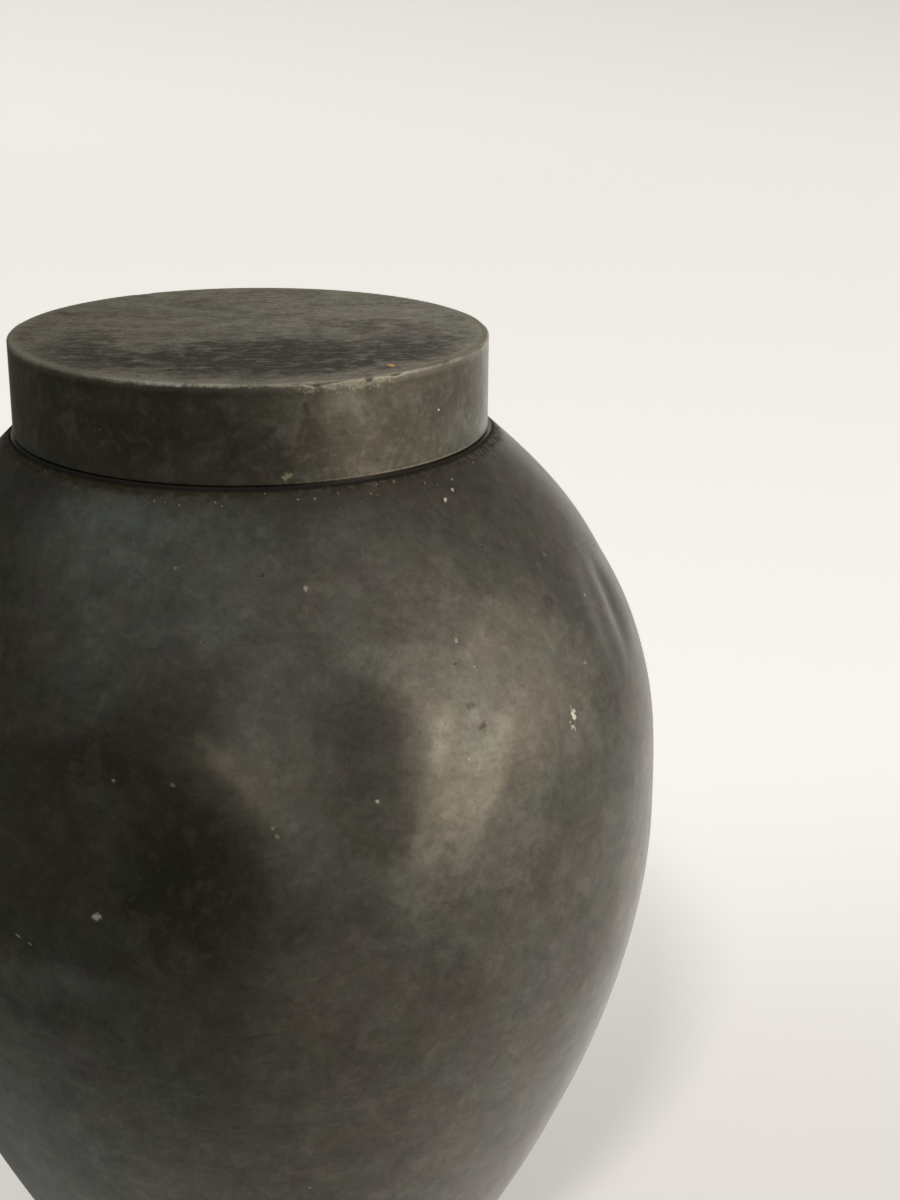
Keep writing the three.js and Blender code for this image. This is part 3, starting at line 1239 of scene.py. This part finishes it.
@dataclass
class Studio:
    """A plain pale floor that rises into a round wall, in soft light from broad patches all round.

    The metal mirrors only the room's glows, and not the floor, because in the photograph the paper ends close
    to the jar. Lengths are in metres.
    """

    floor_colour: str = "f0eeea"
    floor_roughness: float = 0.9
    floor_gloss: float = 0.1
    radius: float = 3.0
    wall_height: float = 2.6
    cove: float = 1.2
    dim: str = "fffaea"
    dim_strength: float = 0.1
    glows: tuple[Glow, ...] = ()
    box_size: float = 0.22
    box_power: float = 7.5
    box_colour: str = "fffaf6"
    box_place: tuple[float, float, float] = (-0.285, -0.987, 1.23)
    box_aim: tuple[float, float, float] = (0.0, 0.0, 0.0)
    # Painted light: the paper glows, less near the camera and more behind the jar, and less where it rises.
    painted_glow: tuple[float, float] = (0.34, 0.62)
    glow_depth: tuple[float, float] = (-0.08, 0.26)
    glow_height: float = 0.35
    glow_high: float = 0.5
    steps: int = 96

    def build(self) -> None:
        """Builds the floor with its wall, and the light."""
        flat = self.radius - self.cove
        profile = [
            (0.0, 0.0),
            *line((0, 0), (flat, 0), 6),
            *corner((flat, self.cove), self.cove, -90, 16),
            (self.radius, self.wall_height),
        ]
        mesh = turn(profile, self.steps, closed=False)
        bmesh.ops.reverse_faces(mesh, faces=mesh.faces)
        floor = make_piece("studio_floor", mesh, [self.paper()])
        floor.visible_shadow = floor.visible_glossy = floor.visible_diffuse = False
        self.light()

    def paper(self) -> Finish:
        """Makes the floor's matt, off-white paper, which glows by itself: painted light that softens the
        shadow.

        The glow is strongest behind the jar and fades where the paper rises, a painted pool of light and
        shade.

        Returns:
            The material.
        """
        made = bpy.data.materials.new("white_paper_painted_glow")
        made.use_nodes = True
        nodes = Nodes(made.node_tree)
        place = nodes.add("ShaderNodeTexCoord", {}, "Object")
        depth = nodes.add("ShaderNodeSeparateXYZ", {"Vector": place}, "Y")
        front, back = self.painted_glow
        flat = nodes.ramp(depth, *self.glow_depth, back, front)
        fall = {"From Max": self.glow_height, "To Min": 1.0, "To Max": self.glow_high}
        risen = nodes.add("ShaderNodeMapRange", {"Value": depth.node.outputs["Z"]} | fall)
        looks = {
            "Base Color": linear(self.floor_colour),
            "Roughness": self.floor_roughness,
            "Specular IOR Level": self.floor_gloss,
            "Emission Color": linear(self.floor_colour),
            "Emission Strength": nodes.both(flat, risen),
        }
        nodes.feed(nodes.tree.nodes["Principled BSDF"], looks)
        return made

    def light(self) -> None:
        """Lights the room with its glows, and the paper with a soft box that the metal doesn't mirror."""
        world = bpy.data.worlds.new("soft_room")
        bpy.context.scene.world = world
        world.use_nodes = True
        nodes = Nodes(world.node_tree)
        direction = nodes.add("ShaderNodeTexCoord", {}, "Generated")
        total: Amount = tinted(self.dim, self.dim_strength)
        for glow in self.glows:
            rise, spread = math.radians(glow.elevation), math.radians(glow.spread)
            aim = {0: direction, 1: around(glow.azimuth, math.cos(rise), math.sin(rise))}
            facing = nodes.add("ShaderNodeVectorMath", aim, "Value", operation="DOT_PRODUCT")
            fade = {"Value": facing, "From Min": math.cos(spread), "From Max": 1.0}
            amount = nodes.add("ShaderNodeMapRange", fade, interpolation_type="SMOOTHERSTEP")
            lit = {0: amount, 1: tinted(glow.colour, glow.strength), 2: total}
            total = nodes.add("ShaderNodeVectorMath", lit, operation="MULTIPLY_ADD")
        nodes.feed(nodes.tree.nodes["Background"], {"Color": total})
        data = bpy.data.lights.new("soft_box", "AREA")
        data.shape = "SQUARE"
        data.size = self.box_size
        data.energy = self.box_power
        data.color = tinted(self.box_colour, 1.0)
        box = bpy.data.objects.new("soft_box", data)
        box.visible_glossy = False
        turned = (Vector(self.box_aim) - Vector(self.box_place)).to_track_quat("-Z", "Y").to_matrix()
        box.matrix_world = Matrix.Translation(self.box_place) @ turned.to_4x4()
        bpy.context.scene.collection.objects.link(box)


@dataclass(frozen=True)
class PhotoCamera:
    """The photograph's own viewpoint, solved from the two rims of the cap.

    Attributes:
        place: The camera's place, in metres.
        yaw: Degrees that it looks towards +X.
        pitch: Degrees that it looks down.
        roll: Degrees that it is turned about its own line of sight.
        lens: Focal length, in mm.
        sensor: The sensor's long side, in mm.
        nearest: The nearest that it sees, in metres.
        farthest: The farthest that it sees, in metres.
    """

    place: tuple[float, float, float] = (-0.0005, -0.3572, 0.2681)
    yaw: float = 6.2
    pitch: float = 19.5
    roll: float = 0.5
    lens: float = 57.06
    sensor: float = 36.0
    nearest: float = 0.01
    farthest: float = 50.0

    def build(self) -> None:
        """Makes the camera and hands it to the scene."""
        data = bpy.data.cameras.new("photo_camera")
        data.lens = self.lens
        data.sensor_width = self.sensor
        data.clip_start, data.clip_end = self.nearest, self.farthest
        camera = bpy.data.objects.new("photo_camera", data)
        aim = Euler((math.radians(90 - self.pitch), 0, math.radians(-self.yaw)), "XYZ").to_matrix()
        roll = Matrix.Rotation(math.radians(self.roll), 3, "Z")
        camera.matrix_world = Matrix.Translation(self.place) @ (aim @ roll).to_4x4()
        bpy.context.scene.collection.objects.link(camera)
        bpy.context.scene.camera = camera


# Each row below gives the fields of its class in their order.
DENTS = (
    Dent(-83.4, 34.7, 23, 25.5, -25, 2.9, 3.8),
    Dent(-116, 19.4, 40, 19.4, -1, 1.8),
    Dent(-99.5, 17.6, 12, 21.3, 0, 0.7, 1.6),
    Dent(-78.7, -7.2, 24, 15.4, 0, 1.3, 2.3),
    Dent(-48.7, 4.6, 22, 35, 4.5, 0.6, 0.6),
    Dent(-131, 51, 45, 20, -20, 2, 0.6),
    Dent(-21, 46, 14.5, 11, -17, 0.6, 1.4),
    Dent(-100.3, 36.5, 9.4, 5.3, -10, -0.43),
    Dent(-62.4, 34, 8.7, 24.3, 33, 0.57, 1.9),
    Dent(-75.2, 36, 8.2, 16, 15, -0.17),
    Dent(-118, -7.5, 17, 7.5, -7, 0.6),
    Dent(-12, -9, 80, 60, 0, -0.9),
    Dent(-23, 45, 5.2, 13, 22, -0.3, 3),
    Dent(-17.8, 46.5, 4.4, 10, 30, 0.32, 3),
    Dent(-5, 64, 36, 16, 0, -1.1),
)

NICKS = (
    Nick(-109.5, 9, 0.65),
    Nick(-96.5, 4.5, 0.5),
    Nick(-76, 6, 0.9),
    Nick(-64, 0.8, 1.2),
    Nick(-58, 3, 0.65),
    Nick(118, 5, 0.6),
)

GLOWS = (
    Glow(-41, 8, 20, "fff8ea", 3.1),
    Glow(-7, 13, 30, "fff5ec", 0.95),
    Glow(-42, 34, 48, "fff9f9", 0.5),
    Glow(75, -16, 41, "fdfaf3", 0.91),
    Glow(30, -45, 39, "fbf8f6", 0.47),
    Glow(14, -37, 100, "fff6f1", 0.41),
    Glow(-111, 56, 23, "f6feff", 0.5),
    Glow(-171, 47, 20, "ebfcff", 0.57),
    Glow(164, -64, 39, "f3fdff", 0.3),
)

# Rubbed, paler ridges, some of them partly painted highlight.
RIDGES_AND_HIGHLIGHTS = (
    Patch(-96.5, 140.8, 73, 4.2, 2.8, "8c866d", 0.35, ragged=1.3),
    Patch(-92, 135.4, 73.5, 8.5, 2.4, "7e7968", 0.35, lean=42, ragged=1.2),
    # Partly painted highlight: these two brighten the lit ridge right of the big dent.
    Patch(-60, 120, 77, 15, 10, "8d887d", 0.4, ragged=0.5),
    Patch(-69, 117, 77, 11, 9, "918c80", 0.45, ragged=0.6),
    Patch(-66, 152, 69, 13, 5, "8a877c", 0.35, ragged=0.8),
)
# Real stains, with painted reflections and painted shadow in the gap under the cap.
STAINS_REFLECTIONS_AND_GAP_SHADOW = (
    Patch(-118, 124, 75, 13, 17, "62513f", 0.35, ragged=0.6),
    Patch(-100.5, 120, 75, 15, 23, "41392d", 0.5, 0.45, ragged=0.5),
    Patch(-112, 138.5, 73, 13, 5.5, "453a2f", 0.45, 0.45, ragged=0.5),
    Patch(-102.5, 118, 75, 9, 13, "343d2e", 0.45, 0.45, ragged=0.6),
    Patch(-33, 152, 68, 5.5, 9, "4e524e", 0.45, lean=-20),
    Patch(-33, 135.5, 75, 4.5, 8, "4b443e", 0.45),
    Patch(-38.5, 154.6, 66, 2.0, 1.7, "403d37", 0.45),
    Patch(-37.8, 148.2, 70, 1.9, 2.0, "403d37", 0.35),
    # Painted reflection: the cool bluish tint of daylight on the left of the shoulder.
    Patch(-112, 173.5, 51, 22, 3.6, "868c85", 0.3),
    # Painted reflection: a paler bluish patch low on the left.
    Patch(-117, 93, 77, 18, 9, "7b8079", 0.3),
    Patch(-115.7, 87.5, 76.3, 3.4, 3, "7d6c4a", 0.4, ragged=1.4),
    # Painted shadow: the gap under the cap is darker and wider at the front left.
    Patch(-122, 177.5, 45.6, 26, 1.2, GAP_SHADOW_BLACK, 0.95, 0.9, ragged=0.5, reach=14, metal=0.1),
    Patch(-94, 177.6, 45.6, 16, 0.9, GAP_SHADOW_WARM_BLACK, 0.85, 0.9, ragged=0.7, reach=14, metal=0.1),
)
PITS = (
    Patch(-60.7, 144, 71.5, 1.3, 0.8, "4a463a", 0.6),
    Patch(-59.3, 140.3, 72.7, 1.1, 1.2, "45413a", 0.7),
    Patch(-63.6, 146.1, 70.9, 0.8, 0.7, "544f42", 0.5),
)
DUST = (
    Patch(-42.7, 136.8, 74.8, 0.7, 1.3, "e6e2d0", 1.0, 0.8, metal=0.1),
    Patch(-43.4, 134.9, 75.4, 1.0, 0.5, "d6d2bf", 0.8, 0.8, lean=35, metal=0.1),
    Patch(-43.8, 135.8, 75.1, 0.4, 0.4, "c0bcab", 0.8, 0.8, metal=0.1),
    Patch(-59.9, 153.8, 66.6, 0.4, 0.4, "b8b2a0", 0.8, 0.8, metal=0.2),
    Patch(-62.1, 135.8, 74.2, 0.4, 0.4, "c2bdac", 0.9, 0.8, metal=0.2),
    Patch(-36.3, 143.5, 72.4, 0.4, 0.45, "aaa597", 0.8, 0.8, metal=0.2),
    Patch(-27.4, 152.3, 67.7, 0.4, 0.4, "b5b1a4", 0.8, 0.8, metal=0.2),
    Patch(-32.2, 160.9, 61.7, 0.45, 0.45, "9a968a", 0.7, 0.8, metal=0.2),
    Patch(-75.4, 131.3, 74.1, 2.8, 2.6, "7c776b", 0.4),
    Patch(-75.4, 131.3, 74.1, 0.5, 0.5, "bdb9aa", 0.9, 0.8, metal=0.2),
    Patch(-111.9, 111.5, 76, 1.0, 0.9, "a3a098", 0.9, 0.8, ragged=0.7, metal=0.2),
    Patch(-109.5, 135.7, 73.3, 0.6, 0.6, "85827b", 0.8, 0.8, metal=0.3),
    Patch(-101.4, 136.1, 74, 0.4, 0.5, "6c6962", 0.8, 0.8, metal=0.3),
    Patch(-123.5, 105, 77.1, 0.9, 0.22, "a9a79f", 0.9, 0.6, lean=25, ragged=0.2, metal=0.4),
    Patch(-121.6, 104.1, 77.1, 0.6, 0.2, "a9a79f", 0.9, 0.6, lean=25, ragged=0.2, metal=0.4),
    Patch(-45.4, 174.1, 49.9, 0.5, 0.4, "cfcbbd", 0.9, 0.8, metal=0.1),
    Patch(-48.9, 173.1, 50.7, 0.6, 0.32, "cfcbbd", 0.9, 0.8, lean=-30, ragged=0.5, metal=0.1),
    Patch(-43.6, 175.4, 48.8, 0.3, 0.25, "b9b5a8", 0.9, 0.8, metal=0.1),
    Patch(-82.3, 164.2, 58.9, 0.45, 0.45, "a5a196", 0.8, 0.8, metal=0.2),
    Patch(-104.2, 167.1, 56.2, 0.4, 0.4, "8c8980", 0.8, 0.8, metal=0.2),
    Patch(-88.9, 128.5, 74.8, 0.45, 0.4, "858268", 0.8, 0.7, metal=0.4),
    Patch(-88.5, 127.1, 75.1, 0.4, 0.45, "858268", 0.7, 0.7, metal=0.4),
)
CAP_STAINS = (
    Patch(-82, 186, 45, 8, 6, "5b4f4c", 0.4),
    Patch(-71, 185, 45, 9, 8, "4b473f", 0.3, ragged=0.5),
    Patch(-125, 187, 45, 34, 16, "57564c", 0.3, ragged=0.4),
    Patch(-78.5, 191.3, 45, 0.7, 1.8, "474338", 0.6, lean=-20),
    Patch(-37, 187.5, 45, 4, 5, "57544a", 0.35),
    Patch(-25, 187, 45, 9, 13, "55514a", 0.45, ragged=0.5),
    Patch(-64.5, 195, 45, 0.7, 1.3, "3d3a31", 0.85, lean=40, reach=1.2),
    Patch(-94.8, 190.4, 45, 0.9, 0.6, "6a6862", 0.4),
    Patch(-83.2, 179.7, 45, 1.0, 0.8, "a09976", 0.8, 0.7, metal=0.4),
    Patch(-43.5, 187.6, 45, 0.3, 0.3, "f0ede0", 1.0, 0.8, ragged=0.2, metal=0.0),
    Patch(-52, 178.6, 45, 30, 0.35, "b5ad98", 0.55, 0.45, ragged=0.5, reach=14),
)
# Bare metal where the arris was knocked and rubbed; at the front left the paler metal is partly a painted
# highlight.
CAP_KNOCKS_AND_GLINTS = (
    Patch(-110.5, 195.9, 44.6, 7, 0.9, "cfccbf", 0.9, 0.5, reach=1.4, metal=0.8),
    Patch(-120, 195.9, 44.6, 7, 0.8, "c4c0b1", 0.85, 0.5, reach=1.4, metal=0.8),
    Patch(-98, 195.9, 44.6, 6, 0.6, "d0ccbc", 0.85, 0.5, reach=1.2, metal=0.8),
    Patch(-88, 195.9, 44.6, 6, 0.7, "bdb8a5", 0.7, reach=1.3, metal=0.8),
    Patch(-134, 195.9, 44.6, 10, 0.7, "a8a390", 0.4, reach=1.3, metal=0.8),
    Patch(-69, 195.3, 44.6, 11, 1.3, "aaa591", 0.6, 0.6, ragged=1.3, reach=1.6, metal=0.8),
)
TOP_STAINS = (
    Patch(96, 196, 27, 40, 18, "cdc7b0", 0.3, flat=True),
    Patch(172, 196, 38, 12, 8, "cdc7b0", 0.3, flat=True),
    Patch(-160, 196, 15, 6, 4, "d0cab4", 0.4, flat=True),
    Patch(118, 196, 29, 6, 6, "6b6a5e", 0.4, flat=True),
    Patch(8, 196, 20, 10, 9, "6f6a64", 0.45, flat=True),
    Patch(-86, 196, 24, 28, 19.5, "443f35", 0.93, flat=True, ragged=0.3, soft=0.45),
    Patch(-143, 196, 34, 18, 10, "43413a", 0.82, flat=True, ragged=0.5),
    Patch(-38, 196, 33, 21, 12, "46413d", 0.85, flat=True, ragged=0.5),
    Patch(-172, 196, 30, 8, 7, "55534a", 0.6, flat=True),
    Patch(-60, 196, 12, 9, 5, "55524a", 0.45, flat=True),
    Patch(-10, 196, 30, 14, 12, "82716b", 0.45, flat=True),
)
TOP_SPECKS = (
    Patch(-53.2, 196, 40.3, 1.0, 1.5, "eebb70", 1.0, 0.8, flat=True, reach=0.7, ragged=0.4, metal=0.0),
    Patch(24, 196, 17.3, 0.3, 2.9, "b9b2a0", 0.5, flat=True, reach=0.7, ragged=0.5),
    Patch(-13.3, 196, 20, 0.45, 0.7, "a8a494", 0.8, 0.8, flat=True, reach=0.7, metal=0.2),
    Patch(31, 196, 35.4, 0.45, 0.7, "c4bfae", 0.8, 0.8, flat=True, reach=0.7, metal=0.2),
    Patch(-74.4, 196, 18.4, 0.5, 0.9, "8f8b7e", 0.8, 0.8, flat=True, reach=0.7, metal=0.2),
    Patch(-71.1, 196, 29.8, 0.4, 0.7, "7c796c", 0.8, 0.8, flat=True, reach=0.7, metal=0.2),
)

CAP_ARRIS = (45.0, 196.0)  # radius and height, in mm
LEDGE_HEIGHT = 178.0  # in mm

# Brown patina over turned tin: a deep, soft sheen, paler on the rubbed ridges, with painted highlight,
# reflections and gap shadow among its patches.
JAR_TIN = AgedTin(
    "turned_tin_dark_patina",
    cool="6a6b62",
    warm="6f6b60",
    mauve="6d6662",
    dark="46433c",
    pale="8f8b80",
    patches=RIDGES_AND_HIGHLIGHTS + STAINS_REFLECTIONS_AND_GAP_SHADOW + PITS + DUST,
    ledge=LEDGE_HEIGHT,
)
# The same where hands hold it: cloudier, with a bright line along the rubbed arris, which at the front is
# partly a painted highlight.
CAP_WALL_TIN = AgedTin(
    "turned_tin_handled",
    cool="6e6e62",
    warm="747062",
    mauve="73695f",
    dark="454238",
    pale="9b978b",
    mottle=1.35,
    patches=CAP_STAINS + CAP_KNOCKS_AND_GLINTS,
    arris=CAP_ARRIS,
)
# Thick oxide that cloths have wiped: matt, scaly streaks, pale at the back and dark at the front.
CAP_TOP_TIN = AgedTin(
    "turned_tin_scaly_oxide",
    cool="b5b29b",
    warm="beb198",
    mauve="b4a193",
    dark="46423a",
    pale="d2cdb7",
    mottle=1.6,
    grain=0.55,
    wiped=0.4,
    patches=TOP_STAINS + CAP_KNOCKS_AND_GLINTS + TOP_SPECKS,
    arris=CAP_ARRIS,
    worn_mm=1.3,
    handled=0.0,
    mottle_mm=4.2,
)
# Turned tin that the lids keep from the air: pale grey, with the tool's lines and a clearer highlight.
BRIGHT_TIN = AgedTin(
    "turned_tin_bare",
    cool="9a9b96",
    warm="a39c90",
    mauve="9b9590",
    dark="827e74",
    pale="bab7ae",
    roughness=0.36,
    mottle=0.5,
)


def main() -> None:
    """Loads the part, builds its looks and reports each piece."""
    logging.basicConfig(level=logging.INFO, format="%(message)s")
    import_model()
    PhotoCamera().build()
    Studio(glows=GLOWS).build()
    patina, bright = JAR_TIN.build(), BRIGHT_TIN.build()
    jar, inner_lid, cap = Jar("jar"), InnerLid("inner_lid"), Cap("cap")
    jar.build(patina, bright)
    inner_lid.build(bright)
    cap.build(CAP_WALL_TIN.build(), CAP_TOP_TIN.build())
    for assembly in (jar, inner_lid, cap):
        for piece in assembly.made:
            LOG.info("%s rides on %s: %d faces", piece.name, assembly.body, len(piece.data.polygons))
    bpy.context.scene.view_settings.view_transform = "Standard"


if __name__ == "__main__":
    main()
